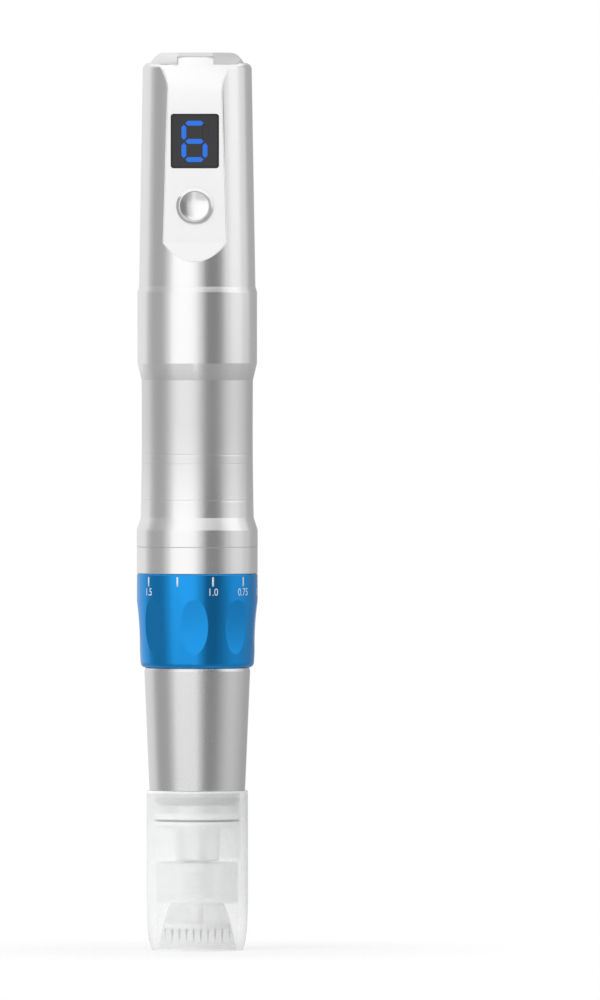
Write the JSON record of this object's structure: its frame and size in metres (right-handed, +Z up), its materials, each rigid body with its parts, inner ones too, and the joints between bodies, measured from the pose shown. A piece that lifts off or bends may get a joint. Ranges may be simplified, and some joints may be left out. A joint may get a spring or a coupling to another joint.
{
  "type": "microneedling pen",
  "caption": "Slim cylindrical microneedling pen with a flat control panel, digit display, push button, turning depth ring and clear pull-off needle cartridge.",
  "frame": {"origin": "centre of the cartridge's bottom rim, where the upright pen stands", "axes": "+Z up along the pen from the needles to the cap, -Y out of the flat panel with the display and button"},
  "size_m": [0.024, 0.024, 0.178],
  "materials": {
    "satin_aluminium": "satin turned aluminium",
    "pearl_white": "white satin-gloss plastic",
    "blue_anodised": "blue anodised satin aluminium",
    "bright_metal": "polished aluminium",
    "clear_plastic": "clear moulded plastic",
    "frosted_plastic": "frosted translucent plastic",
    "black_rubber": "black seal rubber",
    "black_plastic": "black plastic",
    "display_dark": "smoked display window",
    "display_blue": "lit blue light guide",
    "white_plastic": "white moulded plastic",
    "board_green": "green circuit board",
    "steel": "stainless steel",
    "bronze": "bronze and copper",
    "cell_wrap": "wrapped metal can",
    "lead_red": "red insulated wire"
  },
  "bodies": {
    "pen": {"cartridge_seat": "satin_aluminium", "upper_seal_ring": "black_rubber", "lower_seal_ring": "black_rubber", "plunger_bush": "bronze", "front_cone": "satin_aluminium", "inner_tube": "bright_metal", "index_collar": "satin_aluminium", "main_body": "satin_aluminium", "lower_battery_cup": "white_plastic", "battery_cell": "cell_wrap", "upper_battery_cup": "white_plastic", "coupler_ring": "bright_metal", "rear_sleeve": "satin_aluminium", "front_panel": "pearl_white", "top_cap": "pearl_white", "charge_socket": "bright_metal", "charge_tongue": "black_plastic", "charge_board": "board_green", "display_lens": "display_dark", "digit_light_guide": "display_blue", "unlit_segment": "display_dark", "display_module": "white_plastic", "button_bezel": "bright_metal", "tact_switch": "black_plastic", "control_board": "board_green", "lower_board_screw": "steel", "upper_board_screw": "steel", "red_battery_lead": "lead_red", "black_battery_lead": "black_plastic"},
    "button": {"power_button": "bright_metal"},
    "ring": {"depth_ring": "blue_anodised"},
    "carriage": {"motor_carriage": "white_plastic", "plunger_cage": "white_plastic", "motor_can": "steel", "motor_end_cap": "black_plastic"},
    "rotor": {"motor_rotor": "bronze", "drive_cam": "black_plastic"},
    "plunger": {"plunger": "steel", "follower_ball": "bright_metal", "plunger_tip": "black_plastic", "plunger_spring": "steel"},
    "cartridge": {"cartridge_shell": "clear_plastic", "cartridge_core": "frosted_plastic"},
    "needle_head": {"needle_stem": "white_plastic", "needle_plate": "steel", "needle_spring": "steel"}
  },
  "joints": [
    {"name": "button_press", "type": "slide", "parent": "pen", "child": "button", "axis": [0, 1, 0], "range_m": [0, 0.0005], "stiffness_N_per_m": 800, "springref_m": -0.0006},
    {"name": "ring_turn", "type": "hinge", "parent": "pen", "child": "ring", "pos_m": [0, 0, 0.065], "axis": [0, 0, 1], "range_deg": [0, 343]},
    {"name": "depth_travel", "type": "slide", "parent": "pen", "child": "carriage", "axis": [0, 0, -1], "range_m": [0, 0.0025]},
    {"name": "motor_spin", "type": "hinge", "parent": "carriage", "child": "rotor", "pos_m": [0, 0, 0.06], "axis": [0, 0, 1], "continuous": true},
    {"name": "plunger_stroke", "type": "slide", "parent": "carriage", "child": "plunger", "axis": [0, 0, -1], "range_m": [0, 0.0037], "stiffness_N_per_m": 150, "springref_m": -0.002, "deforming": ["plunger_spring"]},
    {"name": "cartridge_pull", "type": "slide", "parent": "pen", "child": "cartridge", "axis": [0, 0, -1], "range_m": [0, 0.02]},
    {"name": "needle_stroke", "type": "slide", "parent": "cartridge", "child": "needle_head", "axis": [0, 0, -1], "range_m": [0, 0.0037], "stiffness_N_per_m": 60, "springref_m": -0.002, "deforming": ["needle_spring"]}
  ],
  "couplings": [
    {"joint": "ring_turn", "follows": "depth_travel", "rad_per_m": 2394.5},
    {"joint": "needle_stroke", "follows": "plunger_stroke", "ratio": 1}
  ]
}
